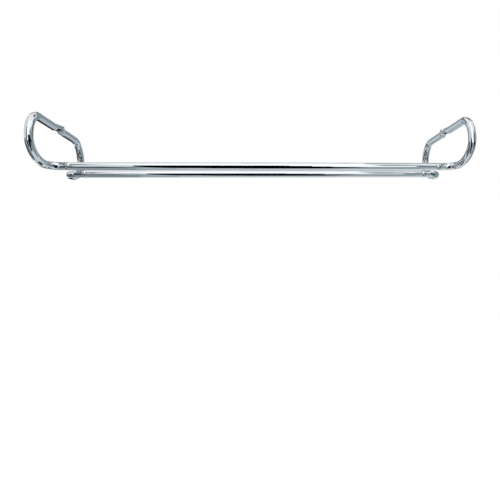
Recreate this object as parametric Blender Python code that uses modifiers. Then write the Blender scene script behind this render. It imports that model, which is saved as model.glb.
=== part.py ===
"""Hanging wine glass rack: a chromed wire channel that screws up under a shelf.

Two straight rails carry the feet of the glasses and leave a slot for their stems.
At each end the rails are butt welded to a bow: one wire that turns out of the rails
in two elbows, bulges out and up on both sides, and closes over the slot in a
crossbar. The middle of each crossbar is pressed flat, close under the shelf, and
drilled as a screw eye.

Lengths are in metres. The origin is the middle of the plane that the crossbars
touch when the rack is screwed up. X runs along the rails, -Y is the front, Z is up.
"""
import math

import bmesh
import bpy
import numpy as np
from mathutils import Vector

# Overall sizes, over the wire of both bows; the screw eyes stand out a little further
FRAME_LENGTH = 0.330
FRAME_WIDTH = 0.110
WIRE_DIAMETER = 0.006

# Rails, measured between centre lines
RAIL_SPACING = 0.036

# End bows, measured on the centre line of the wire
BOW_RISE = 0.033
BULGE_HEIGHT = 0.015
CORNER_REACH = 0.0165
ELBOW_RADIUS = 0.0088
ELBOW_STUB = 0.004

# Screw eyes pressed into the crossbars; the lift is from the wire's centre line
EYE_DIAMETER = 0.010
EYE_FILLET = 0.0035
EYE_THICKNESS = 0.0032
EYE_LIFT = 0.001
EYE_FLAT_LENGTH = 0.0084
EYE_SHOULDER = 0.0024
SCREW_HOLE_DIAMETER = 0.0042

# Butt welds between rails and bows
WELD_LENGTH = 0.0024
WELD_UPSET = 0.0002
WELD_CLEARANCE = 0.0003

# How far a cutter runs past what it cuts, and how close two points are one
CUT_OVERRUN = 0.003
MERGE_DISTANCE = 0.00001

# Places worked out from the sizes above
WIRE_RADIUS = WIRE_DIAMETER / 2
RAIL_HALF_SPACING = RAIL_SPACING / 2
CROSSBAR_Z = -WIRE_RADIUS
RAIL_Z = CROSSBAR_Z - BOW_RISE
BOW_X = FRAME_LENGTH / 2 - WIRE_RADIUS
BULGE_Y = FRAME_WIDTH / 2 - WIRE_RADIUS
ELBOW_END_Y = RAIL_HALF_SPACING + ELBOW_RADIUS
CORNER_Y = BULGE_Y - CORNER_REACH
EYE_END_Y = EYE_FLAT_LENGTH / 2 + EYE_SHOULDER
BOW_END_X = BOW_X - ELBOW_RADIUS - ELBOW_STUB
WELD_X = BOW_END_X - WELD_CLEARANCE - WELD_LENGTH / 2
RAIL_HALF_LENGTH = WELD_X - WELD_LENGTH / 2 - WELD_CLEARANCE

# Numbers of steps along each stretch of wire, and sides round it
ELBOW_STEPS = 9
LOWER_ARC_STEPS = 15
UPPER_ARC_STEPS = 14
CROSSBAR_STEPS = 3
EYE_STEPS = 10
WELD_STEPS = 8
WIRE_BEVEL_RESOLUTION = 8
WIRE_SIDES = 4 + 2 * WIRE_BEVEL_RESOLUTION
HOLE_SIDES = 28

# Below this angle between faces, a surface is shaded as one smooth skin
SMOOTH_ANGLE = math.radians(35)
QUARTER_TURN = math.pi / 2
HALF_TURN = math.pi


def clear_objects():
    """Remove every object, so that the file holds the rack alone."""
    for thing in list(bpy.data.objects):
        bpy.data.objects.remove(thing, do_unlink=True)


def make_collection(name):
    """Return a new collection in the scene."""
    collection = bpy.data.collections.new(name)
    bpy.context.scene.collection.children.link(collection)
    return collection


def chrome(name, colour, roughness):
    """Bright chrome plating over steel wire."""
    material = bpy.data.materials.new(name)
    material.use_nodes = True
    shader = material.node_tree.nodes["Principled BSDF"]
    shader.inputs["Base Color"].default_value = colour
    shader.inputs["Metallic"].default_value = 1
    shader.inputs["Roughness"].default_value = roughness
    material.diffuse_color = colour
    return material


def sweep(steps):
    """Angles of a quarter turn in even steps, without its first."""
    return np.linspace(0, QUARTER_TURN, steps + 1)[1:]


def front_half_route():
    """Centre line of the bow's front half, from its weld to the crossbar's middle.

    Points are measured from the middle of the crossbar, for the bow at +X.
    """
    elbow_centre = Vector((-ELBOW_RADIUS, -ELBOW_END_Y))
    points = [
        (elbow_centre.x - ELBOW_STUB, -RAIL_HALF_SPACING, -BOW_RISE),
        (elbow_centre.x, -RAIL_HALF_SPACING, -BOW_RISE),
    ]
    for angle in sweep(ELBOW_STEPS):
        x = elbow_centre.x + ELBOW_RADIUS * math.sin(angle)
        y = elbow_centre.y + ELBOW_RADIUS * math.cos(angle)
        points.append((x, y, -BOW_RISE))
    for angle in sweep(LOWER_ARC_STEPS):
        y = ELBOW_END_Y + (BULGE_Y - ELBOW_END_Y) * math.sin(angle)
        z = BULGE_HEIGHT * (1 - math.cos(angle)) - BOW_RISE
        points.append((0, -y, z))
    for angle in sweep(UPPER_ARC_STEPS):
        y = BULGE_Y - CORNER_REACH * (1 - math.cos(angle))
        z = (BULGE_HEIGHT - BOW_RISE) * (1 - math.sin(angle))
        points.append((0, -y, z))
    for y in np.linspace(CORNER_Y, EYE_END_Y, CROSSBAR_STEPS + 1)[1:]:
        points.append((0, -y, 0))
    for y in np.linspace(EYE_END_Y, 0, EYE_STEPS + 1)[1:]:
        points.append((0, -y, 0))
    return points


def bow_route():
    """Centre line of the whole bow, front weld to back weld."""
    front = front_half_route()
    back = [(x, -y, z) for x, y, z in reversed(front[:-1])]
    return front + back


def wire_curve(name, points, collection):
    """Round wire along a line of points, closed at both ends."""
    curve = bpy.data.curves.new(name, "CURVE")
    curve.dimensions = "3D"
    curve.bevel_depth = WIRE_RADIUS
    curve.bevel_resolution = WIRE_BEVEL_RESOLUTION
    curve.use_fill_caps = True
    spline = curve.splines.new("POLY")
    spline.points.add(len(points) - 1)
    for knot, place in zip(spline.points, points):
        knot.co = Vector(place).to_4d()
    wire = bpy.data.objects.new(name, curve)
    collection.objects.link(wire)
    return wire


def ease(share):
    """Smooth rise from 0 to 1."""
    share = min(max(share, 0), 1)
    return share * share * (3 - 2 * share)


def eye_half_width(reach):
    """Half the width of the pressed wire, this far along the bar from the hole.

    In plan the eye is round, and a fillet on each side runs it into the wire.
    """
    eye_radius = max(EYE_DIAMETER / 2, WIRE_RADIUS)
    fillet_y = math.sqrt((eye_radius + EYE_FILLET) ** 2 - (WIRE_RADIUS + EYE_FILLET) ** 2)
    touch_y = fillet_y * eye_radius / (eye_radius + EYE_FILLET)
    if reach <= touch_y:
        return math.sqrt(eye_radius ** 2 - reach ** 2)
    if reach < fillet_y:
        return WIRE_RADIUS + EYE_FILLET - math.sqrt(EYE_FILLET ** 2 - (fillet_y - reach) ** 2)
    return WIRE_RADIUS


def press_eye(mesh):
    """Press the middle of the crossbar flat and a little up, and spread it sideways."""
    for vertex in mesh.vertices:
        reach = abs(vertex.co.y)
        on_crossbar = abs(vertex.co.z) <= WIRE_DIAMETER and reach < EYE_END_Y
        if not on_crossbar:
            continue
        shoulder = ease((reach - EYE_FLAT_LENGTH / 2) / EYE_SHOULDER)
        pressed_z = EYE_LIFT + min(max(vertex.co.z, -EYE_THICKNESS / 2), EYE_THICKNESS / 2)
        vertex.co.z = pressed_z + (vertex.co.z - pressed_z) * shoulder
        vertex.co.x *= eye_half_width(reach) / WIRE_RADIUS


def make_bow_mesh(collection):
    """Bend the bow's wire and press its eye: one mesh, which both bows share."""
    curve = wire_curve("bow_wire", bow_route(), collection)
    graph = bpy.context.evaluated_depsgraph_get()
    mesh = bpy.data.meshes.new_from_object(curve.evaluated_get(graph))
    mesh.name = "bow"
    bpy.data.objects.remove(curve, do_unlink=True)
    work = bmesh.new()
    work.from_mesh(mesh)
    bmesh.ops.remove_doubles(work, verts=work.verts, dist=MERGE_DISTANCE)
    work.to_mesh(mesh)
    work.free()
    press_eye(mesh)
    mesh.shade_smooth()
    mesh.set_sharp_from_angle(angle=SMOOTH_ANGLE)
    return mesh


def make_hole_cutter(name, place, collection):
    """Round drill that passes down through a pressed eye."""
    bpy.ops.mesh.primitive_cylinder_add(
        vertices=HOLE_SIDES,
        radius=SCREW_HOLE_DIAMETER / 2,
        depth=EYE_THICKNESS + 2 * CUT_OVERRUN,
        location=place,
    )
    drill = bpy.context.object
    drill.name = name
    for home in list(drill.users_collection):
        home.objects.unlink(drill)
    collection.objects.link(drill)
    drill.hide_render = True
    drill.display_type = "WIRE"
    return drill


def make_bow(name, mesh, side, parts, cutters):
    """One end bow. The left one is the right one turned half round."""
    bow = bpy.data.objects.new(name, mesh)
    bow.location = (side * BOW_X, 0, CROSSBAR_Z)
    bow.rotation_euler.z = 0 if side > 0 else HALF_TURN
    parts.objects.link(bow)
    eye_middle = (side * BOW_X, 0, CROSSBAR_Z + EYE_LIFT)
    drill = make_hole_cutter(name + "_screw_drill", eye_middle, cutters)
    hole = bow.modifiers.new("screw_hole", "BOOLEAN")
    hole.operation = "DIFFERENCE"
    hole.solver = "EXACT"
    hole.object = drill
    return bow


def make_rail(name, side, collection):
    """One straight rail, between the welds."""
    ends = [(-RAIL_HALF_LENGTH, 0, 0), (RAIL_HALF_LENGTH, 0, 0)]
    rail = wire_curve(name, ends, collection)
    rail.location = (0, side * RAIL_HALF_SPACING, RAIL_Z)
    return rail


def make_weld_profile():
    """Half section of a butt weld: the wire's end face and the swollen seam."""
    half_length = WELD_LENGTH / 2
    section = [(0, half_length)]
    for step in range(WELD_STEPS + 1):
        share = 1 - 2 * step / WELD_STEPS
        radius = WIRE_RADIUS + WELD_UPSET * math.cos(QUARTER_TURN * share)
        section.append((radius, half_length * share))
    section.append((0, -half_length))
    mesh = bpy.data.meshes.new("weld")
    edges = [(index, index + 1) for index in range(len(section) - 1)]
    mesh.from_pydata([(x, 0, z) for x, z in section], edges, [])
    return mesh


def make_weld(name, mesh, side_x, side_y, collection):
    """One butt weld: the section turned about the wire's own axis."""
    weld = bpy.data.objects.new(name, mesh)
    weld.location = (side_x * WELD_X, side_y * RAIL_HALF_SPACING, RAIL_Z)
    weld.rotation_euler.y = QUARTER_TURN
    turn = weld.modifiers.new("turn", "SCREW")
    turn.axis = "Z"
    turn.steps = WIRE_SIDES
    turn.render_steps = WIRE_SIDES
    turn.use_merge_vertices = True
    turn.merge_threshold = MERGE_DISTANCE
    turn.use_smooth_shade = True
    collection.objects.link(weld)
    return weld


def make_rack():
    """Make every piece of the rack, and hang them all on one empty."""
    parts = make_collection("hanging_wine_glass_rack")
    cutters = make_collection("cutters")
    hanger = bpy.data.objects.new("mounting_plane", None)
    parts.objects.link(hanger)

    bow_mesh = make_bow_mesh(parts)
    bow_mesh.materials.append(chrome("bow_chrome", (0.76, 0.79, 0.82, 1), 0.08))
    pieces = [
        make_bow("bow_left", bow_mesh, -1, parts, cutters),
        make_bow("bow_right", bow_mesh, 1, parts, cutters),
    ]
    rail_chrome = chrome("rail_chrome", (0.78, 0.80, 0.83, 1), 0.06)
    for name, side in (("rail_front", -1), ("rail_back", 1)):
        rail = make_rail(name, side, parts)
        rail.data.materials.append(rail_chrome)
        pieces.append(rail)
    weld_mesh = make_weld_profile()
    weld_mesh.materials.append(chrome("weld_chrome", (0.70, 0.73, 0.76, 1), 0.18))
    for end, side_x in (("left", -1), ("right", 1)):
        for place, side_y in (("front", -1), ("back", 1)):
            name = "weld_" + place + "_" + end
            pieces.append(make_weld(name, weld_mesh, side_x, side_y, parts))
    for piece in pieces:
        piece.parent = hanger


def main():
    clear_objects()
    make_rack()


main()
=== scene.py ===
"""Looks of the hanging wine glass rack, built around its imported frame.

The rack is bright chrome on drawn wire: two straight rails, a bent bow at each end
with a pressed and drilled screw eye, and four butt welds. Lengths are in metres, in
the frame's own directions: X along the rails, -Y towards the viewer, Z up.
"""
import math

import bpy
import numpy as np
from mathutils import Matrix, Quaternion, Vector


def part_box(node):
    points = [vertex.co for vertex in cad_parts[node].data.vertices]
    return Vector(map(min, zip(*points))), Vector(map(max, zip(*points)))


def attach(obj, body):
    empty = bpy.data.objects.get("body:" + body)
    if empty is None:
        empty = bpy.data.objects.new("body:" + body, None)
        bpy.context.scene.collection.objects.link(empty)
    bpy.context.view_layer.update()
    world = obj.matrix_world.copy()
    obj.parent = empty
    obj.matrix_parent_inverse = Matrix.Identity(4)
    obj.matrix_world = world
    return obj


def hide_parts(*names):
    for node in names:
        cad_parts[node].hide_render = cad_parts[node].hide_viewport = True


bl_info = {
    "name": "Wine glass rack looks",
    "version": (1, 0, 0),
    "blender": (4, 5, 0),
    "location": "3D View > Sidebar > Rack",
    "description": "Chromed wire, pressed eyes, butt welds and a studio for a hanging rack",
    "category": "Add Mesh",
}

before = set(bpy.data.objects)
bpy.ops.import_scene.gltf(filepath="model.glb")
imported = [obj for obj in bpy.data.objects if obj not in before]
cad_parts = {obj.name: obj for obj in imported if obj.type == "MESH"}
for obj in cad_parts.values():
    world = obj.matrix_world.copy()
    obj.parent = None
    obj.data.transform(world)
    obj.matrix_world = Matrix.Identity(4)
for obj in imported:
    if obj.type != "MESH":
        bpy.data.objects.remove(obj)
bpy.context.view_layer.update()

# Places read from the frame
RAIL_LOW, RAIL_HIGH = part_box("rail_back")
BOW_LOW, BOW_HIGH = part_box("bow_right")
WELD_LOW, WELD_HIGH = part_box("weld_back_right")
WIRE_RADIUS = (RAIL_HIGH.z - RAIL_LOW.z) / 2
RAIL_Y = (RAIL_HIGH.y + RAIL_LOW.y) / 2
RAIL_Z = (RAIL_HIGH.z + RAIL_LOW.z) / 2
RAIL_END_X = RAIL_HIGH.x
BOW_END_X = BOW_LOW.x
BULGE_Y = BOW_HIGH.y - WIRE_RADIUS
CROSSBAR_Z = BOW_HIGH.z - WIRE_RADIUS
WELD_RADIUS = (WELD_HIGH.z - WELD_LOW.z) / 2

# Steps along each stretch of wire, and sides round it
WIRE_SIDES = 48
RAIL_STEPS = 36
ELBOW_STEPS = 22
LOWER_STEPS = 40
UPPER_STEPS = 36
BAR_STEPS = 8
EYE_STEPS = 44
WELD_STEPS = 14
HOLE_SIDES = 64
RIM_SEGMENTS = 3

MERGE_DISTANCE = 0.000002
QUARTER_TURN = math.pi / 2
HALF_TURN = math.pi
SHADE_ANGLE = math.radians(40)

# How square the pressed section of an eye is: 0 leaves an ellipse
FLATNESS = 2.4

# How squarely a face has to look along the drill to be one of its ends
END_FACING = 0.9

# How far the seam's round top is dressed down flat: 1 leaves it round
SEAM_CUT = 1.35

# Values stored on the points of the pieces
PLACE_ATTRIBUTE = "wire_place"
BORE_ATTRIBUTE = "bore_mask"


class RackSizes(bpy.types.PropertyGroup):
    """Bends and pressed parts of the wire, beside what the frame gives."""

    elbow_radius: bpy.props.FloatProperty(
        name="Elbow radius", description="Bend from rail into bow, on the wire's centre line",
        default=0.0088, min=0.004, max=0.02, unit="LENGTH", precision=4)
    bulge_height: bpy.props.FloatProperty(
        name="Bulge height", description="Height above the rails at which the bow is widest",
        default=0.015, min=0.005, max=0.03, unit="LENGTH", precision=4)
    corner_reach: bpy.props.FloatProperty(
        name="Corner reach", description="How far the upper bend runs in along the crossbar",
        default=0.0165, min=0.005, max=0.03, unit="LENGTH", precision=4)
    eye_diameter: bpy.props.FloatProperty(
        name="Eye diameter", description="Outside diameter of the pressed screw eye",
        default=0.010, min=0.006, max=0.02, unit="LENGTH", precision=4)
    eye_fillet: bpy.props.FloatProperty(
        name="Eye fillet", description="Radius of the hollow corner between the eye and the wire",
        default=0.005, min=0.001, max=0.01, unit="LENGTH", precision=4)
    eye_thickness: bpy.props.FloatProperty(
        name="Eye thickness", description="Thickness left where the wire is pressed flat",
        default=0.0032, min=0.001, max=0.006, unit="LENGTH", precision=4)
    eye_lift: bpy.props.FloatProperty(
        name="Eye lift", description="How far the eye's middle lies above the wire's centre line",
        default=0.001, min=-0.003, max=0.003, unit="LENGTH", precision=4)
    eye_flat_length: bpy.props.FloatProperty(
        name="Eye flat length", description="Length of the pressed flat along the crossbar",
        default=0.0104, min=0.004, max=0.02, unit="LENGTH", precision=4)
    eye_shoulder: bpy.props.FloatProperty(
        name="Eye shoulder", description="Length over which the flat runs out into round wire",
        default=0.0026, min=0.0005, max=0.01, unit="LENGTH", precision=4)
    screw_hole: bpy.props.FloatProperty(
        name="Screw hole", description="Diameter of the hole drilled through the eye",
        default=0.0042, min=0.002, max=0.008, unit="LENGTH", precision=4)
    rim_chamfer: bpy.props.FloatProperty(
        name="Rim chamfer", description="Rounding that polishing leaves on the hole's rims",
        default=0.00022, min=0.00005, max=0.0006, unit="LENGTH", precision=5)


class RackFinish(bpy.types.PropertyGroup):
    """Colour and polish of the plating."""

    plating: bpy.props.FloatVectorProperty(
        name="Plating", description="Colour of clean chrome plating",
        default=(0.755, 0.785, 0.815), size=3, min=0, max=1, subtype="COLOR")
    haze: bpy.props.FloatVectorProperty(
        name="Haze", description="Colour of plating where it is faintly clouded by handling",
        default=(0.69, 0.72, 0.75), size=3, min=0, max=1, subtype="COLOR")
    weld_plating: bpy.props.FloatVectorProperty(
        name="Weld plating", description="Colour of the plating over a ground weld",
        default=(0.70, 0.73, 0.755), size=3, min=0, max=1, subtype="COLOR")
    # Painted shade: this near-black colour inside the screw holes stands for the shade that falls
    # in the bore; the dull plating there comes from the bore's roughness
    shaded_bore: bpy.props.FloatVectorProperty(
        name="Bore", description="Colour inside the screw holes, where the plating is dull",
        default=(0.045, 0.05, 0.055), size=3, min=0, max=1, subtype="COLOR")
    polish: bpy.props.FloatProperty(
        name="Polish", description="Roughness of the cleanest plating",
        default=0.028, min=0, max=1, subtype="FACTOR")


class RackStudio(bpy.types.PropertyGroup):
    """Floor, camera and lamps."""

    floor_drop: bpy.props.FloatProperty(
        name="Floor drop", description="Depth of the floor below the shelf that holds the rack",
        default=1.05, min=0.2, max=2, unit="LENGTH")
    lens: bpy.props.FloatProperty(
        name="Lens", description="Focal length of the camera, in millimetres",
        default=35.36, min=10, max=200)
    lamp_brightness: bpy.props.FloatProperty(
        name="Lamp brightness", description="Brightness of the two soft lamps, where 1 is white",
        default=1.3, min=0, max=10)


def sizes():
    """The rack's bend and press sizes."""
    return bpy.context.scene.rack_sizes


# Modelling helpers

def deselect_all():
    """Leave nothing selected, so that an operator acts on the new piece alone."""
    if bpy.context.mode != "OBJECT":
        bpy.ops.object.mode_set(mode="OBJECT")
    bpy.ops.object.select_all(action="DESELECT")


def pick(piece):
    """Make one object the only selected and active one."""
    deselect_all()
    piece.select_set(True)
    bpy.context.view_layer.objects.active = piece


def start_wire(name, place):
    """A filled circle across the start of a wire that runs along X, ready to be drawn out."""
    deselect_all()
    bpy.ops.mesh.primitive_circle_add(
        vertices=WIRE_SIDES, radius=WIRE_RADIUS, fill_type="NGON",
        location=place, rotation=(0, QUARTER_TURN, 0))
    wire = bpy.context.object
    wire.name = name
    wire.data.name = name
    bpy.ops.object.transform_apply(location=True, rotation=True, scale=True)
    bpy.ops.object.mode_set(mode="EDIT")
    bpy.ops.mesh.select_mode(type="FACE")
    bpy.ops.mesh.select_all(action="SELECT")
    return wire


def draw_out(step):
    """Extrude the selected end face by one step."""
    bpy.ops.mesh.extrude_region_move(TRANSFORM_OT_translate={"value": step})


def draw_along(points, heading):
    """Extrude the selected end face along points that bend about X, and keep it square to them."""
    for index in range(1, len(points)):
        place = points[index]
        step = place - points[index - 1]
        after = step.normalized()
        if index < len(points) - 1:
            after = (after + (points[index + 1] - place).normalized()).normalized()
        draw_out(step)
        angle = math.asin(heading.cross(after).x)
        bpy.ops.transform.rotate(value=-angle, orient_axis="X", center_override=place)
        heading = after


def finish_normals(piece):
    """Merge doubled points and make every face point outwards."""
    pick(piece)
    bpy.ops.object.mode_set(mode="EDIT")
    bpy.ops.mesh.select_all(action="SELECT")
    bpy.ops.mesh.remove_doubles(threshold=MERGE_DISTANCE)
    bpy.ops.mesh.normals_make_consistent(inside=False)
    bpy.ops.mesh.select_all(action="DESELECT")
    bpy.ops.object.mode_set(mode="OBJECT")


def apply_all(piece):
    """Apply the piece's modifiers in their order."""
    pick(piece)
    for modifier in list(piece.modifiers):
        bpy.ops.object.modifier_apply(modifier=modifier.name)


def copy_piece(piece, name):
    """A copy with its own mesh, left selected and active."""
    pick(piece)
    bpy.ops.object.duplicate(linked=False)
    copy = bpy.context.object
    copy.name = name
    copy.data.name = name
    return copy


def settle(piece, node, material):
    """Give a finished piece its material and its body, and hide the frame node that it stands for.
    """
    piece.data.materials.clear()
    piece.data.materials.append(material)
    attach(piece, "root")
    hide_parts(node)


# The wire's routes

def bow_line_x():
    """Place along the rails of the right bow's centre line."""
    return BOW_HIGH.x - sizes().eye_diameter / 2


def pressed_reach():
    """Distance along the bar from the hole to where the wire is round again."""
    s = sizes()
    return s.eye_flat_length / 2 + s.eye_shoulder


def front_half_route():
    """Centre line of the right bow from its front weld to the middle of its crossbar.

    Returned as the stub's two ends, the elbow's centre, and the points from there on.
    """
    s = sizes()
    bow_x = bow_line_x()
    elbow_end_y = RAIL_Y + s.elbow_radius
    elbow_start_x = bow_x - s.elbow_radius
    stub = [Vector((BOW_END_X, -RAIL_Y, RAIL_Z)), Vector((elbow_start_x, -RAIL_Y, RAIL_Z))]
    centre = Vector((elbow_start_x, -elbow_end_y, RAIL_Z))
    rise = CROSSBAR_Z - RAIL_Z
    curve = []
    for step in range(LOWER_STEPS + 1):
        angle = QUARTER_TURN * step / LOWER_STEPS
        y = elbow_end_y + (BULGE_Y - elbow_end_y) * math.sin(angle)
        z = RAIL_Z + s.bulge_height * (1 - math.cos(angle))
        curve.append(Vector((bow_x, -y, z)))
    for step in range(1, UPPER_STEPS + 1):
        angle = QUARTER_TURN * step / UPPER_STEPS
        y = BULGE_Y - s.corner_reach * (1 - math.cos(angle))
        z = RAIL_Z + s.bulge_height + (rise - s.bulge_height) * math.sin(angle)
        curve.append(Vector((bow_x, -y, z)))
    corner_y = BULGE_Y - s.corner_reach
    eye_end_y = pressed_reach()
    for step in range(1, BAR_STEPS + 1):
        y = corner_y + (eye_end_y - corner_y) * step / BAR_STEPS
        curve.append(Vector((bow_x, -y, CROSSBAR_Z)))
    for step in range(1, EYE_STEPS + 1):
        y = eye_end_y * (1 - step / EYE_STEPS)
        curve.append(Vector((bow_x, -y, CROSSBAR_Z)))
    return stub, centre, curve


def whole_route():
    """Centre line of the whole right bow, from its front weld to its back weld."""
    stub, centre, curve = front_half_route()
    radius = sizes().elbow_radius
    elbow = []
    for step in range(1, ELBOW_STEPS):
        angle = QUARTER_TURN * step / ELBOW_STEPS
        elbow.append(centre + Vector((radius * math.sin(angle), radius * math.cos(angle), 0)))
    front = stub + elbow + curve
    back = [Vector((p.x, -p.y, p.z)) for p in reversed(front[:-1])]
    return front + back


def note_wire_place(piece, route):
    """Store each point's place on the wire: its length along it, and its direction round it.

    The chrome's fine marks read this attribute, so that they follow the wire through its
    bends and meet all the way round.
    """
    line = np.array([tuple(p) for p in route])
    starts, runs = line[:-1], np.diff(line, axis=0)
    lengths = np.linalg.norm(runs, axis=1)
    along = np.concatenate([[0], np.cumsum(lengths)])[:-1]
    count = len(piece.data.vertices)
    flat = np.empty(count * 3)
    piece.data.vertices.foreach_get("co", flat)
    points = flat.reshape(-1, 3)
    sides = []
    side = np.array([0.0, 0.0, 1.0])
    for run in runs / lengths[:, None]:
        side = side - run * side.dot(run)
        side = side / np.linalg.norm(side)
        sides.append(side)
    place = np.empty((count, 3))
    for index, point in enumerate(points):
        share = ((point - starts) * runs).sum(1) / lengths ** 2
        share = np.clip(share, 0, 1)
        gaps = point - (starts + runs * share[:, None])
        nearest = int((gaps ** 2).sum(1).argmin())
        gap = gaps[nearest]
        across = np.cross(runs[nearest] / lengths[nearest], sides[nearest])
        place[index] = (along[nearest] + share[nearest] * lengths[nearest],
                        gap.dot(sides[nearest]), gap.dot(across))
    attribute = piece.data.attributes.new(PLACE_ATTRIBUTE, "FLOAT_VECTOR", "POINT")
    attribute.data.foreach_set("vector", place.ravel())


# Rails

def make_rail():
    """The back rail: a long run of straight wire."""
    rail = start_wire("rail_back_wire", (-RAIL_END_X, RAIL_Y, RAIL_Z))
    step = Vector((2 * RAIL_END_X / RAIL_STEPS, 0, 0))
    for _ in range(RAIL_STEPS):
        draw_out(step)
    bpy.ops.object.mode_set(mode="OBJECT")
    finish_normals(rail)
    bpy.ops.object.shade_smooth_by_angle(angle=SHADE_ANGLE)
    route = [Vector((-RAIL_END_X, RAIL_Y, RAIL_Z)), Vector((RAIL_END_X, RAIL_Y, RAIL_Z))]
    note_wire_place(rail, route)
    return rail


class RACK_OT_rails(bpy.types.Operator):
    """Draw the two straight rails"""

    bl_idname = "rack.rails"
    bl_label = "Rails"

    def execute(self, context):
        chrome = wire_chrome()
        back = make_rail()
        front = copy_piece(back, "rail_front_wire")
        bpy.ops.transform.translate(value=(0, -2 * RAIL_Y, 0))
        bpy.ops.object.transform_apply(location=True)
        settle(front, "rail_front", chrome)
        settle(back, "rail_back", chrome)
        return {"FINISHED"}


# End bows

def bend_front_half():
    """Bend the front half of the right bow: stub, elbow, the two curves and half the bar."""
    stub, centre, curve = front_half_route()
    wire = start_wire("bow_right_wire", stub[0])
    draw_out(stub[1] - stub[0])
    bpy.ops.mesh.spin(
        steps=ELBOW_STEPS, angle=QUARTER_TURN, center=centre, axis=(0, 0, 1))
    draw_along(curve, Vector((0, -1, 0)))
    # The end is left open for the mirrored half, with no face left inside the wire
    bpy.ops.mesh.delete(type="ONLY_FACE")
    bpy.ops.mesh.select_interior_faces()
    bpy.ops.mesh.delete(type="ONLY_FACE")
    bpy.ops.object.mode_set(mode="OBJECT")
    return wire


def ease(share):
    """Smooth rise from 0 to 1."""
    share = min(max(share, 0), 1)
    return share * share * (3 - 2 * share)


def eye_half_width(reach):
    """Half the width of the pressed wire, this far along the bar from the hole."""
    s = sizes()
    eye_radius = s.eye_diameter / 2
    to_fillet = eye_radius + s.eye_fillet
    fillet_y = math.sqrt(to_fillet ** 2 - (WIRE_RADIUS + s.eye_fillet) ** 2)
    touch_y = fillet_y * eye_radius / to_fillet
    if reach <= touch_y:
        return math.sqrt(eye_radius ** 2 - reach ** 2)
    if reach < fillet_y:
        dip = math.sqrt(s.eye_fillet ** 2 - (fillet_y - reach) ** 2)
        return WIRE_RADIUS + s.eye_fillet - dip
    return WIRE_RADIUS


def press_eye(bow):
    """Press the bar's middle between two dies: its round section spreads and goes flat.

    Each section changes from a circle to a flat oval with soft edges.
    """
    s = sizes()
    bow_x = bow_line_x()
    eye_end_y = pressed_reach()
    for vertex in bow.data.vertices:
        reach = abs(vertex.co.y)
        height = vertex.co.z - CROSSBAR_Z
        # The dies close on the bar alone, and not on the wire that runs far below it
        if reach >= eye_end_y or abs(height) > 2 * WIRE_RADIUS:
            continue
        round_again = ease((reach - s.eye_flat_length / 2) / s.eye_shoulder)
        half_width = eye_half_width(reach)
        across = (vertex.co.x - bow_x) / WIRE_RADIUS
        up = height / WIRE_RADIUS
        power = 2 / (2 + FLATNESS * (1 - round_again))
        half_height = s.eye_thickness / 2 * (1 - round_again) + WIRE_RADIUS * round_again
        vertex.co.x = bow_x + math.copysign(abs(across) ** power, across) * half_width
        lift = s.eye_lift * (1 - round_again)
        vertex.co.z = CROSSBAR_Z + lift + math.copysign(abs(up) ** power, up) * half_height


def drill_profile():
    """Steps out and up from the shank's end to far past the eye's face, rounded over the rim."""
    soft = sizes().rim_chamfer
    profile = [(0, 0)]
    for step in range(1, RIM_SEGMENTS + 1):
        angle = QUARTER_TURN * step / RIM_SEGMENTS
        profile.append((soft * (1 - math.cos(angle)), soft * math.sin(angle)))
    last_out, last_up = profile[-1][0] - profile[-2][0], profile[-1][1] - profile[-2][1]
    profile.append((profile[-1][0] + last_out, profile[-1][1] + last_up))
    profile.append((profile[-1][0], profile[-1][1] + WIRE_RADIUS))
    return profile


def make_drill(place):
    """The shape that the drill and the buff take away: a shank that flares at each face."""
    s = sizes()
    radius = s.screw_hole / 2
    deselect_all()
    bpy.ops.mesh.primitive_cylinder_add(
        vertices=HOLE_SIDES, radius=radius, depth=s.eye_thickness - 2 * s.rim_chamfer,
        location=place)
    drill = bpy.context.object
    profile = drill_profile()
    for side in (1, -1):
        bpy.ops.object.mode_set(mode="EDIT")
        bpy.ops.mesh.select_mode(type="FACE")
        bpy.ops.mesh.select_all(action="DESELECT")
        bpy.ops.object.mode_set(mode="OBJECT")
        for face in drill.data.polygons:
            face.select = face.normal.z * side > END_FACING
        bpy.ops.object.mode_set(mode="EDIT")
        for (out, up), (next_out, next_up) in zip(profile, profile[1:]):
            draw_out(Vector((0, 0, side * (next_up - up))))
            wider = (radius + next_out) / (radius + out)
            bpy.ops.transform.resize(value=(wider, wider, 1), center_override=place)
    bpy.ops.object.mode_set(mode="OBJECT")
    return drill


def drill_eye(bow):
    """Drill the screw hole down through the pressed eye, with both rims softened by the buff."""
    s = sizes()
    place = Vector((bow_line_x(), 0, CROSSBAR_Z + s.eye_lift))
    drill = make_drill(place)
    hole = bow.modifiers.new("screw hole", "BOOLEAN")
    hole.operation = "DIFFERENCE"
    hole.solver = "EXACT"
    hole.object = drill
    apply_all(bow)
    bpy.data.objects.remove(drill, do_unlink=True)
    # Mark the bore's wall and rims, where the chrome is painted near black as painted shade and
    # made rough
    reach = s.screw_hole / 2 + s.rim_chamfer / 2
    shaded_bore = [float((v.co.xy - place.xy).length < reach and abs(v.co.z - place.z) < WIRE_RADIUS)
            for v in bow.data.vertices]
    attribute = bow.data.attributes.new(BORE_ATTRIBUTE, "FLOAT", "POINT")
    attribute.data.foreach_set("value", shaded_bore)


def make_bow():
    """The right bow: one half bent and mirrored, then pressed and drilled."""
    bow = bend_front_half()
    mirror = bow.modifiers.new("back half", "MIRROR")
    mirror.use_axis = (False, True, False)
    mirror.merge_threshold = MERGE_DISTANCE
    apply_all(bow)
    finish_normals(bow)
    press_eye(bow)
    drill_eye(bow)
    pick(bow)
    bpy.ops.object.shade_smooth_by_angle(angle=SHADE_ANGLE)
    note_wire_place(bow, whole_route())
    return bow


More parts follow.
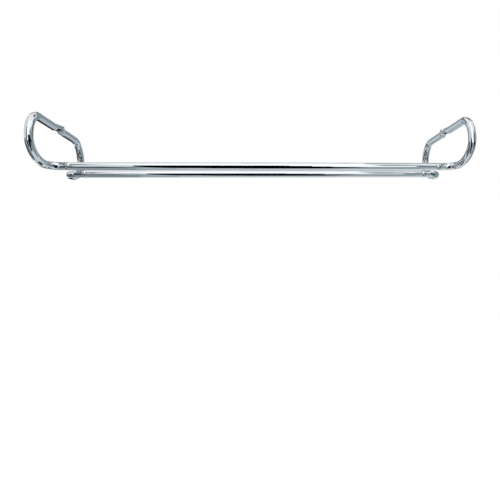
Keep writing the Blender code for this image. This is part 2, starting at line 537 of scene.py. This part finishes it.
class RACK_OT_bows(bpy.types.Operator):
    """Bend, press and drill the two end bows"""

    bl_idname = "rack.bows"
    bl_label = "End bows"

    def execute(self, context):
        chrome = wire_chrome()
        right = make_bow()
        left = copy_piece(right, "bow_left_wire")
        bpy.ops.transform.rotate(value=HALF_TURN, orient_axis="Z", center_override=(0, 0, 0))
        bpy.ops.object.transform_apply(location=True, rotation=True, scale=True)
        settle(left, "bow_left", chrome)
        settle(right, "bow_right", chrome)
        return {"FINISHED"}


# Butt welds

def make_weld():
    """The back right weld: a swollen seam, dressed down by hand, between rail and bow."""
    weld = start_wire("weld_back_right_seam", (RAIL_END_X, RAIL_Y, RAIL_Z))
    length = BOW_END_X - RAIL_END_X
    swell = WELD_RADIUS - WIRE_RADIUS
    girth_before = 1.0
    for index in range(1, WELD_STEPS + 1):
        draw_out(Vector((length / WELD_STEPS, 0, 0)))
        share = index / WELD_STEPS
        dressed = min(1, SEAM_CUT * math.sin(HALF_TURN * share) ** 2)
        girth = 1 + swell * dressed / WIRE_RADIUS
        wider = girth / girth_before
        place = (RAIL_END_X + length * share, RAIL_Y, RAIL_Z)
        bpy.ops.transform.resize(value=(1, wider, wider), center_override=place)
        girth_before = girth
    bpy.ops.object.mode_set(mode="OBJECT")
    finish_normals(weld)
    bpy.ops.object.shade_smooth_by_angle(angle=SHADE_ANGLE)
    route = [Vector((RAIL_END_X, RAIL_Y, RAIL_Z)), Vector((BOW_END_X, RAIL_Y, RAIL_Z))]
    note_wire_place(weld, route)
    return weld


class RACK_OT_welds(bpy.types.Operator):
    """Make the four butt welds between the rails and the bows"""

    bl_idname = "rack.welds"
    bl_label = "Butt welds"

    def execute(self, context):
        chrome = weld_chrome()
        first = make_weld()
        welds = {("back", "right"): first}
        for place, end in (("front", "right"), ("back", "left"), ("front", "left")):
            weld = copy_piece(first, f"weld_{place}_{end}_seam")
            shift_y = -2 * RAIL_Y if place == "front" else 0
            shift_x = -RAIL_END_X - BOW_END_X if end == "left" else 0
            bpy.ops.transform.translate(value=(shift_x, shift_y, 0))
            bpy.ops.object.transform_apply(location=True)
            welds[(place, end)] = weld
        for (place, end), weld in welds.items():
            settle(weld, f"weld_{place}_{end}", chrome)
        return {"FINISHED"}


# Material helpers

def add_node(tree, kind, **settings):
    """A node of one kind, with its own settings, and constants for its named inputs."""
    node = tree.nodes.new(kind)
    for key, value in settings.items():
        if key == "inputs":
            for name, constant in value.items():
                node.inputs[name].default_value = constant
        else:
            setattr(node, key, value)
    return node


def math_node(tree, operation, *values):
    """A maths node fed by sockets or numbers. Returns its output."""
    node = add_node(tree, "ShaderNodeMath", operation=operation)
    for socket, value in zip(node.inputs, values):
        if isinstance(value, bpy.types.NodeSocket):
            tree.links.new(value, socket)
        else:
            socket.default_value = value
    return node.outputs[0]


def add_shares(tree, start, shares):
    """A start value with a share of each mask added on. Returns its output."""
    total = start
    for mask, share in shares:
        total = math_node(tree, "MULTIPLY_ADD", mask, share, total)
    return total


def ramp_value(tree, value, low, high, to_low=0.0, to_high=1.0):
    """Value stretched from low..high to new ends, and held there. Returns its output."""
    node = add_node(tree, "ShaderNodeMapRange", interpolation_type="SMOOTHSTEP",
                    inputs={"From Min": low, "From Max": high,
                            "To Min": to_low, "To Max": to_high})
    tree.links.new(value, node.inputs["Value"])
    return node.outputs["Result"]


def mix_colour(tree, factor, first, second):
    """Two colours mixed by a mask. Each may be a socket or a colour. Returns a colour."""
    node = add_node(tree, "ShaderNodeMix", data_type="RGBA")
    tree.links.new(factor, node.inputs["Factor"])
    for label, value in (("A", first), ("B", second)):
        socket = next(s for s in node.inputs if s.name == label and s.type == "RGBA")
        if isinstance(value, bpy.types.NodeSocket):
            tree.links.new(value, socket)
        else:
            socket.default_value = (*value, 1)
    return next(s for s in node.outputs if s.type == "RGBA")


def new_group(name, inputs, outputs):
    """An empty shader node group with named sockets. Returns it with its two ends."""
    group = bpy.data.node_groups.new(name, "ShaderNodeTree")
    for label, kind, default in inputs:
        socket = group.interface.new_socket(label, in_out="INPUT", socket_type=kind)
        if default is not None:
            socket.default_value = default
    for label, kind in outputs:
        group.interface.new_socket(label, in_out="OUTPUT", socket_type=kind)
    return group, group.nodes.new("NodeGroupInput"), group.nodes.new("NodeGroupOutput")


def scaled_place(tree, place, along, around):
    """Place on the wire with its length and its girth scaled apart. Returns a vector."""
    node = add_node(tree, "ShaderNodeVectorMath", operation="MULTIPLY")
    tree.links.new(place, node.inputs[0])
    node.inputs[1].default_value = (along, around, around)
    return node.outputs["Vector"]


def wire_noise(tree, place, along, around, detail=2.0, roughness=0.5):
    """Soft noise on the wire, of this grain along and round it. Returns its value."""
    vector = scaled_place(tree, place, along, around)
    node = add_node(tree, "ShaderNodeTexNoise",
                    inputs={"Scale": 1.0, "Detail": detail, "Roughness": roughness})
    tree.links.new(vector, node.inputs["Vector"])
    return node.outputs["Fac"]


def add_bump(tree, height, distance, normal=None):
    """A bump from a height, over another normal where there is one. Returns a normal."""
    node = add_node(tree, "ShaderNodeBump", inputs={"Strength": 1.0, "Distance": distance})
    tree.links.new(height, node.inputs["Height"])
    if normal is not None:
        tree.links.new(normal, node.inputs["Normal"])
    return node.outputs["Normal"]


# Grain of each pattern on the wire: cells in a metre along it and in a metre round it,
# and then the noise's detail and roughness where they aren't the usual ones
FINE_LINES = (14, 5200, 3.0, 0.6)
BROAD_LINES = (5, 1500)
WAVES = (70, 190, 1.5, 0.45)
HAIRLINES = (260, 420)
HAIRLINE_PATCHES = (60, 120)
CLOUDS = (38, 110, 4.0, 0.6)
SPECKS = (900, 900)
SPECK_PATCHES = (420, 420)
GRINDING = (5200, 160, 3.0, 0.6)
PITS = (1500, 1500, 3.0, 0.6)

# Values of each pattern between which its mask goes from nothing to full, or from full
# to nothing for hairlines and specks
HAIRLINE_EDGE = (0.0, 0.007)
HAIRLINE_PATCH_EDGE = (0.52, 0.64)
CLOUD_EDGE = (0.46, 0.72)
SPECK_EDGE = (0.05, 0.16)
SPECK_PATCH_EDGE = (0.60, 0.66)
PIT_EDGE = (0.42, 0.62)
BORE_EDGE = (0.3, 0.9)

# Value of a noise where the middle of a hairline lies
NOISE_MIDDLE = 0.5

# Shares of the two sorts of drawing lines in their sum
FINE_SHARE = 0.6
BROAD_SHARE = 0.4

# How much handling marks show on the wire, and on a weld, which is wiped less clean
WIRE_WEAR = 1.0
WELD_WEAR = 1.6

# Roughness that each mark adds where it is full, on the wire and then on a weld
CLOUD_ROUGHNESS = 0.025
LINE_ROUGHNESS = 0.012
SCRATCH_ROUGHNESS = 0.10
SPECK_ROUGHNESS = 0.3
BORE_ROUGHNESS = 0.45
GRINDING_ROUGHNESS = 0.14
WELD_CLOUD_ROUGHNESS = 0.05

# Heights of what is felt under the plating
WAVE_HEIGHT = 0.000002
LINE_HEIGHT = 0.0000006
PIT_HEIGHT = 0.00002
GRINDING_HEIGHT = 0.000004

# How far a full cloud takes the plating's colour towards its haze, and the dust's colour
CLOUD_TINT = 0.35
SPECK_COLOUR = (0.42, 0.43, 0.44)


def drawn_lines_group():
    """Fine lines that the drawing die leaves along the wire, still felt under the plating."""
    group, entry, leave = new_group(
        "Drawn lines",
        [("Place", "NodeSocketVector", None)],
        [("Lines", "NodeSocketFloat"), ("Waves", "NodeSocketFloat")])
    place = entry.outputs["Place"]
    fine = wire_noise(group, place, *FINE_LINES)
    broad = wire_noise(group, place, *BROAD_LINES)
    lines = math_node(group, "ADD", math_node(group, "MULTIPLY", fine, FINE_SHARE),
                      math_node(group, "MULTIPLY", broad, BROAD_SHARE))
    group.links.new(lines, leave.inputs["Lines"])
    group.links.new(wire_noise(group, place, *WAVES), leave.inputs["Waves"])
    return group


def handling_group():
    """Marks of use: hairline scratches, faint clouds left by fingers, and specks of dust."""
    if "Handling marks" in bpy.data.node_groups:
        return bpy.data.node_groups["Handling marks"]
    group, entry, leave = new_group(
        "Handling marks",
        [("Place", "NodeSocketVector", None), ("Amount", "NodeSocketFloat", 1.0)],
        [("Scratches", "NodeSocketFloat"), ("Clouds", "NodeSocketFloat"),
         ("Specks", "NodeSocketFloat")])
    place, amount = entry.outputs["Place"], entry.outputs["Amount"]
    wander = wire_noise(group, place, *HAIRLINES)
    nearness = math_node(group, "ABSOLUTE", math_node(group, "SUBTRACT", wander, NOISE_MIDDLE))
    hairline = ramp_value(group, nearness, *HAIRLINE_EDGE, 1.0, 0.0)
    patch = ramp_value(group, wire_noise(group, place, *HAIRLINE_PATCHES), *HAIRLINE_PATCH_EDGE)
    scratches = math_node(group, "MULTIPLY", hairline, patch)
    clouds = ramp_value(group, wire_noise(group, place, *CLOUDS), *CLOUD_EDGE)
    cells = add_node(group, "ShaderNodeTexVoronoi", inputs={"Scale": 1.0, "Randomness": 1.0})
    group.links.new(scaled_place(group, place, *SPECKS), cells.inputs["Vector"])
    dot = ramp_value(group, cells.outputs["Distance"], *SPECK_EDGE, 1.0, 0.0)
    few = ramp_value(group, wire_noise(group, place, *SPECK_PATCHES), *SPECK_PATCH_EDGE)
    specks = math_node(group, "MULTIPLY", dot, few)
    for label, value in (("Scratches", scratches), ("Clouds", clouds), ("Specks", specks)):
        group.links.new(math_node(group, "MULTIPLY", value, amount), leave.inputs[label])
    return group


def group_on_wire(tree, group, place):
    """A node group placed in a material and fed by the place on the wire."""
    node = add_node(tree, "ShaderNodeGroup", node_tree=group)
    tree.links.new(place, node.inputs["Place"])
    return node


def start_chrome(name, wear):
    """A metal material with handling marks. Returns it with its shader, place and marks."""
    material = bpy.data.materials.new(name)
    material.use_nodes = True
    tree = material.node_tree
    shader = tree.nodes["Principled BSDF"]
    shader.inputs["Metallic"].default_value = 1
    attribute = add_node(tree, "ShaderNodeAttribute", attribute_name=PLACE_ATTRIBUTE)
    place = attribute.outputs["Vector"]
    marks = group_on_wire(tree, handling_group(), place)
    marks.inputs["Amount"].default_value = wear
    return material, shader, place, marks.outputs


def wire_chrome():
    """Bright plating on drawn wire."""
    if "plated_wire" in bpy.data.materials:
        return bpy.data.materials["plated_wire"]
    finish = bpy.context.scene.rack_finish
    material, shader, place, marks = start_chrome("plated_wire", WIRE_WEAR)
    tree = material.node_tree
    drawn = group_on_wire(tree, drawn_lines_group(), place).outputs
    clouded = math_node(tree, "MULTIPLY", marks["Clouds"], CLOUD_TINT)
    colour = mix_colour(tree, clouded, finish.plating, finish.haze)
    colour = mix_colour(tree, marks["Specks"], colour, SPECK_COLOUR)
    # Painted shade: the bore's wall and rims take the near-black bore colour for the shade in the
    # hole, and a dull roughness below
    shaded_bore = add_node(tree, "ShaderNodeAttribute", attribute_name=BORE_ATTRIBUTE).outputs["Fac"]
    shaded_bore = ramp_value(tree, shaded_bore, *BORE_EDGE)
    colour = mix_colour(tree, shaded_bore, colour, finish.shaded_bore)
    tree.links.new(colour, shader.inputs["Base Color"])
    rough = add_shares(tree, finish.polish, (
        (marks["Clouds"], CLOUD_ROUGHNESS),
        (drawn["Lines"], LINE_ROUGHNESS),
        (marks["Scratches"], SCRATCH_ROUGHNESS),
        (marks["Specks"], SPECK_ROUGHNESS),
        (shaded_bore, BORE_ROUGHNESS)))
    tree.links.new(rough, shader.inputs["Roughness"])
    normal = add_bump(tree, drawn["Waves"], WAVE_HEIGHT)
    normal = add_bump(tree, drawn["Lines"], LINE_HEIGHT, normal)
    tree.links.new(normal, shader.inputs["Normal"])
    return material


def weld_chrome():
    """Plating over a ground weld: duller, with grinding marks round the seam."""
    if "plated_weld" in bpy.data.materials:
        return bpy.data.materials["plated_weld"]
    finish = bpy.context.scene.rack_finish
    material, shader, place, marks = start_chrome("plated_weld", WELD_WEAR)
    tree = material.node_tree
    ground = wire_noise(tree, place, *GRINDING)
    pits = wire_noise(tree, place, *PITS)
    pitted = ramp_value(tree, pits, *PIT_EDGE)
    colour = mix_colour(tree, pitted, finish.weld_plating, finish.haze)
    tree.links.new(colour, shader.inputs["Base Color"])
    rough = add_shares(tree, 2 * finish.polish, (
        (ground, GRINDING_ROUGHNESS),
        (marks["Clouds"], WELD_CLOUD_ROUGHNESS)))
    tree.links.new(rough, shader.inputs["Roughness"])
    normal = add_bump(tree, pits, PIT_HEIGHT)
    normal = add_bump(tree, ground, GRINDING_HEIGHT, normal)
    tree.links.new(normal, shader.inputs["Normal"])
    return material


# Studio

WHITE = (1, 1, 1, 1)
SOFT_LIGHT_COLOUR = (0.95, 0.97, 1.0, 1)
SOFT_LIGHT_STRENGTH = 0.55

FLOOR_SIZE = 12
FLOOR_COLOUR = (0.86, 0.87, 0.88, 1)
FLOOR_ROUGHNESS = 0.7

# What is added to the floor's own brightness, so that its lit parts reach white
FLOOR_LIFT = 0.75

# Shares of red and of blue in a grey board, beside its green, at four brightnesses
COOL_TONES = (0.0, 0.3, 0.6, 1.0)
RED_SHARE = (0.76, 0.825, 0.91, 0.98)
BLUE_SHARE = (1.06, 1.085, 1.05, 1.0)

# Boards: name, lowest corner, highest corner, and one grey, or greys at heights on an
# upright board and at depths on a level one, where 1 is white
BOARDS = (
    ("black_flag_left", (-0.15, -0.24, -0.52), (-0.105, -0.24, 0.024), 0.001),
    ("black_flag", (-0.105, -0.24, -0.92), (0.04, -0.24, 0.028), 0.001),
    ("black_flag_first_step", (0.04, -0.24, -0.92), (0.068, -0.24, -0.01), 0.001),
    ("black_flag_second_step", (0.068, -0.24, -0.92), (0.095, -0.24, -0.07), 0.001),
    ("black_flag_right", (0.095, -0.24, -0.92), (0.145, -0.24, -0.14), 0.001),
    ("front_lamp_face", (-0.332, -0.55, -0.2), (0.307, -0.55, 1.482), 1.4),
    ("front_left_strip", (-0.332, -0.545, -0.08), (-0.225, -0.545, 0.24), 0.76),
    ("overhead_lamp_face", (0.021, -0.457, 0.37), (0.178, 0.083, 0.37), 1.4),
    ("overhead_pale_card", (0.021, -0.15, 0.365), (0.075, 0.083, 0.365), 1.1),
    ("overhead_grey_card", (0.075, -0.08, 0.365), (0.15, 0.0, 0.365), 0.68),
    ("front_strip", (0.226, -0.5, 0.043), (0.315, -0.5, 0.46), 0.29),
    ("left_flag", (-1.226, -0.6, -0.924), (-0.3, -0.6, 0.584),
     ((-0.924, 0.01), (-0.35, 0.02), (-0.15, 0.17), (0.15, 0.17), (0.584, 0.1))),
    ("right_flag", (0.461, -0.6, -0.151), (0.765, -0.6, 0.42), 0.00338),
    ("low_left_card", (-0.6, -0.277, -0.885), (-0.6, 0.451, 0.001), 0.119),
    ("left_card", (-0.65, -1.41, 0.065), (-0.65, 0.322, 0.906), 0.819),
    ("left_back_card", (-0.75, 0.315, 0.011), (-0.75, 0.661, 0.367), 0.0713),
    ("right_card", (0.6, -1.042, -0.322), (0.6, -0.111, -0.097), 0.00946),
    ("right_back_card", (0.75, 0.327, 0.153), (0.75, 1.478, 0.798), 0.0517),
    ("back_band", (-0.61, 0.8, -0.41), (-0.272, 0.8, 0.238), 0.008),
    ("back_right_card", (-0.15, 0.82, -0.113), (0.377, 0.82, 0.818), 0.343),
    ("high_back_card", (-0.825, 0.83, 0.475), (0.457, 0.83, 1.014), 0.214),
    ("high_left_card", (-1.296, 0.84, 1.046), (-0.667, 0.84, 1.472), 0.0336),
    ("low_back_card", (-0.395, 0.35, -0.536), (0.0, 0.65, -0.536), 0.04),
    ("low_back_right_card", (0.0, 0.43, -0.536), (0.187, 0.69, -0.536), 0.1),
    ("base_bright_card", (-0.2, -0.15, -0.92), (0.62, 0.62, -0.92), 0.76),
    ("base_dark_card", (-0.03, -0.46, -0.92), (0.45, -0.15, -0.92),
     ((-0.46, 0.36), (-0.3, 0.25), (-0.24, 0.06), (-0.15, 0.04))),
    ("base_left_card", (-0.62, -0.75, -0.92), (-0.3, 0.3, -0.92),
     ((-0.75, 0.36), (-0.45, 0.45), (-0.15, 0.4), (0.15, 0.25), (0.3, 0.05))),
    ("back_wall", (-0.9, 0.9, -0.93), (0.9, 0.9, 0.62),
     ((-0.93, 1.13), (-0.39, 0.5), (-0.04, 0.73), (0.46, 0.48))),
    ("left_wall", (-0.9, -0.9, -0.93), (-0.9, 0.9, 0.62),
     ((-0.93, 0.72), (-0.39, 1.35), (-0.04, 1.20), (0.46, 0.38))),
    ("right_wall", (0.9, -0.9, -0.93), (0.9, 0.9, 0.62),
     ((-0.93, 0.08), (-0.39, 0.40), (-0.04, 0.30), (0.46, 0.44))),
    ("front_wall", (-0.9, -0.9, -0.93), (0.9, -0.9, 0.62),
     ((-0.93, 0.43), (-0.39, 0.36), (-0.04, 0.15), (0.46, 1.0))),
    ("base_board", (-0.9, -0.9, -0.93), (0.9, 0.9, -0.93), ((-0.9, 0.50), (0.9, 0.55))),
    ("ceiling_card", (0.253, 0.088, 1.0), (0.673, 0.719, 1.0), 0.115),
    ("ceiling_middle_card", (-0.045, 0.173, 1.01), (0.247, 0.647, 1.01), 0.512),
)

# Soft lamps: name, place, width and length, and turn from facing down
LAMPS = (
    ("overhead_lamp", (-0.075, -0.29, 0.223), (0.35, 0.42), (0, 0, 0)),
    ("front_lamp", (0.042, -0.55, 0.43), (0.643, 1.45), (QUARTER_TURN, 0, 0)),
)

# The photograph's viewpoint: its place, turn and roll in radians, and the lens's shift
CAMERA_PLACE = (-0.0052, -0.4138, -0.1087)
CAMERA_TURN = 0.0968
CAMERA_ROLL = -0.0164
CAMERA_SHIFT = (-0.1052, 0.0124)

# Width of the camera's film in millimetres, and the nearest that it sees
SENSOR_WIDTH = 36
NEAREST_SEEN = 0.01


def light_path_mask(tree):
    """1 for what the camera, a reflection or a clear material sees, and 0 for soft light."""
    path = add_node(tree, "ShaderNodeLightPath")
    seen = math_node(tree, "MAXIMUM", path.outputs["Is Camera Ray"], path.outputs["Is Glossy Ray"])
    return math_node(tree, "MAXIMUM", seen, path.outputs["Is Transmission Ray"])


def make_world():
    """White all round to the eye and in reflections, with a soft even light."""
    world = bpy.data.worlds.new("white_studio")
    world.cycles.sampling_method = "NONE"
    bpy.context.scene.world = world
    world.use_nodes = True
    tree = world.node_tree
    tree.nodes.clear()
    leave = tree.nodes.new("ShaderNodeOutputWorld")
    soft = add_node(tree, "ShaderNodeBackground",
                    inputs={"Color": SOFT_LIGHT_COLOUR, "Strength": SOFT_LIGHT_STRENGTH})
    white = add_node(tree, "ShaderNodeBackground", inputs={"Color": WHITE, "Strength": 1.0})
    mix = add_node(tree, "ShaderNodeMixShader")
    tree.links.new(light_path_mask(tree), mix.inputs["Fac"])
    tree.links.new(soft.outputs[0], mix.inputs[1])
    tree.links.new(white.outputs[0], mix.inputs[2])
    tree.links.new(mix.outputs[0], leave.inputs["Surface"])


def floor_material():
    """Pale floor that reads white to the eye and still takes a shadow."""
    material = bpy.data.materials.new("studio_floor")
    material.use_nodes = True
    tree = material.node_tree
    shader = tree.nodes["Principled BSDF"]
    shader.inputs["Base Color"].default_value = FLOOR_COLOUR
    shader.inputs["Roughness"].default_value = FLOOR_ROUGHNESS
    leave = next(n for n in tree.nodes if n.type == "OUTPUT_MATERIAL")
    glow = add_node(tree, "ShaderNodeEmission", inputs={"Color": WHITE})
    tree.links.new(math_node(tree, "MULTIPLY", light_path_mask(tree), FLOOR_LIFT),
                   glow.inputs["Strength"])
    both = add_node(tree, "ShaderNodeAddShader")
    tree.links.new(shader.outputs[0], both.inputs[0])
    tree.links.new(glow.outputs[0], both.inputs[1])
    tree.links.new(both.outputs[0], leave.inputs["Surface"])
    return material


def make_floor(drop):
    """The plain floor, this far below the shelf that holds the rack."""
    deselect_all()
    bpy.ops.mesh.primitive_plane_add(size=FLOOR_SIZE, location=(0, 0, -drop))
    floor = bpy.context.object
    floor.name = "studio_floor"
    floor.data.materials.append(floor_material())


def cool_grey(tone):
    """A grey of this brightness: the darker it is, the cooler, and whites are nearly plain."""
    red = tone * float(np.interp(tone, COOL_TONES, RED_SHARE))
    blue = tone * float(np.interp(tone, COOL_TONES, BLUE_SHARE))
    return (red, tone, blue, 1)


def board_material(name, tones, axis):
    """Painted face of a board that only reflections show: one grey, or greys along an axis."""
    material = bpy.data.materials.new(name)
    material.cycles.emission_sampling = "NONE"
    material.use_nodes = True
    tree = material.node_tree
    tree.nodes.clear()
    leave = tree.nodes.new("ShaderNodeOutputMaterial")
    glow = add_node(tree, "ShaderNodeEmission", inputs={"Strength": 1.0})
    tree.links.new(glow.outputs[0], leave.inputs["Surface"])
    if isinstance(tones, float):
        glow.inputs["Color"].default_value = cool_grey(tones)
        return material
    place = add_node(tree, "ShaderNodeTexCoord")
    parts = add_node(tree, "ShaderNodeSeparateXYZ")
    tree.links.new(place.outputs["Object"], parts.inputs[0])
    low, high = tones[0][0], tones[-1][0]
    share = add_node(tree, "ShaderNodeMapRange", inputs={"From Min": low, "From Max": high})
    tree.links.new(parts.outputs[axis], share.inputs["Value"])
    paint = add_node(tree, "ShaderNodeValToRGB")
    stops = paint.color_ramp.elements
    # New stops may start anywhere, because each gets its own place and grey below
    while len(stops) < len(tones):
        stops.new(0.5)
    for index, (level, tone) in enumerate(tones):
        stops[index].position = (level - low) / (high - low)
        stops[index].color = cool_grey(tone)
    tree.links.new(share.outputs["Result"], paint.inputs["Fac"])
    tree.links.new(paint.outputs["Color"], glow.inputs["Color"])
    return material


def make_board(name, low, high, tones):
    """A flat upright or level board, seen only in the chrome and casting no shadow."""
    low, high = Vector(low), Vector(high)
    size = high - low
    deselect_all()
    bpy.ops.mesh.primitive_plane_add(size=1, location=(low + high) / 2)
    board = bpy.context.object
    board.name = name
    if size.y == 0:
        board.scale = (size.x, size.z, 1)
        board.rotation_euler = (QUARTER_TURN, 0, 0)
    elif size.x == 0:
        board.scale = (size.z, size.y, 1)
        board.rotation_euler = (0, QUARTER_TURN, 0)
    else:
        board.scale = (size.x, size.y, 1)
    bpy.ops.object.transform_apply(location=True, rotation=True, scale=True)
    axis = "Y" if size.z == 0 else "Z"
    board.data.materials.append(board_material(name, tones, axis))
    board.visible_camera = False
    board.visible_diffuse = False
    board.visible_transmission = False
    board.visible_shadow = False


def make_lamp(name, place, size, turn, brightness):
    """A soft rectangular lamp. The chrome doesn't show it, because boards do that."""
    lamp = bpy.data.lights.new(name, "AREA")
    lamp.shape = "RECTANGLE"
    lamp.size, lamp.size_y = size
    # A flat face of brightness 1 sends out pi watts from each square metre
    lamp.energy = brightness * math.pi * size[0] * size[1]
    holder = bpy.data.objects.new(name, lamp)
    bpy.context.scene.collection.objects.link(holder)
    holder.location = place
    holder.rotation_euler = turn
    holder.visible_glossy = False


def make_camera():
    """Look along the horizon with a slight roll, shifted to frame the rack."""
    data = bpy.data.cameras.new("camera")
    data.sensor_width = SENSOR_WIDTH
    data.lens = bpy.context.scene.rack_studio.lens
    data.shift_x, data.shift_y = CAMERA_SHIFT
    data.clip_start = NEAREST_SEEN
    camera = bpy.data.objects.new("camera", data)
    bpy.context.scene.collection.objects.link(camera)
    camera.location = CAMERA_PLACE
    camera.rotation_mode = "QUATERNION"
    level = Vector((math.sin(CAMERA_TURN), math.cos(CAMERA_TURN), 0)).to_track_quat("-Z", "Y")
    camera.rotation_quaternion = level @ Quaternion((0, 0, 1), CAMERA_ROLL)
    bpy.context.scene.camera = camera


class RACK_OT_studio(bpy.types.Operator):
    """Set up the floor, the boards, the lamps and the camera"""

    bl_idname = "rack.studio"
    bl_label = "Studio"

    def execute(self, context):
        studio = context.scene.rack_studio
        context.scene.view_settings.view_transform = "Standard"
        make_world()
        make_floor(studio.floor_drop)
        for board in BOARDS:
            make_board(*board)
        for lamp in LAMPS:
            make_lamp(*lamp, studio.lamp_brightness)
        make_camera()
        return {"FINISHED"}


# Add-on

class RACK_PT_panel(bpy.types.Panel):
    """Lists the rack's pieces and its studio"""

    bl_label = "Wine glass rack"
    bl_idname = "RACK_PT_panel"
    bl_space_type = "VIEW_3D"
    bl_region_type = "UI"
    bl_category = "Rack"

    def draw(self, context):
        layout = self.layout
        for label, group in (("Sizes", context.scene.rack_sizes),
                             ("Finish", context.scene.rack_finish),
                             ("Studio", context.scene.rack_studio)):
            box = layout.box()
            box.label(text=label)
            for name in group.__annotations__:
                box.prop(group, name)
        for operator in OPERATORS:
            layout.operator(operator.bl_idname)


OPERATORS = (RACK_OT_rails, RACK_OT_bows, RACK_OT_welds, RACK_OT_studio)
GROUPS = (("rack_sizes", RackSizes), ("rack_finish", RackFinish), ("rack_studio", RackStudio))


def register():
    """Register the groups of values, the operators and the panel."""
    for name, group in GROUPS:
        bpy.utils.register_class(group)
        setattr(bpy.types.Scene, name, bpy.props.PointerProperty(type=group))
    for kind in (*OPERATORS, RACK_PT_panel):
        bpy.utils.register_class(kind)


def unregister():
    """Take them out again, in the opposite order."""
    for kind in (RACK_PT_panel, *reversed(OPERATORS)):
        bpy.utils.unregister_class(kind)
    for name, group in reversed(GROUPS):
        delattr(bpy.types.Scene, name)
        bpy.utils.unregister_class(group)


def main():
    """Make every piece and the studio."""
    register()
    bpy.ops.rack.rails()
    bpy.ops.rack.bows()
    bpy.ops.rack.welds()
    bpy.ops.rack.studio()


if __name__ == "__main__":
    main()
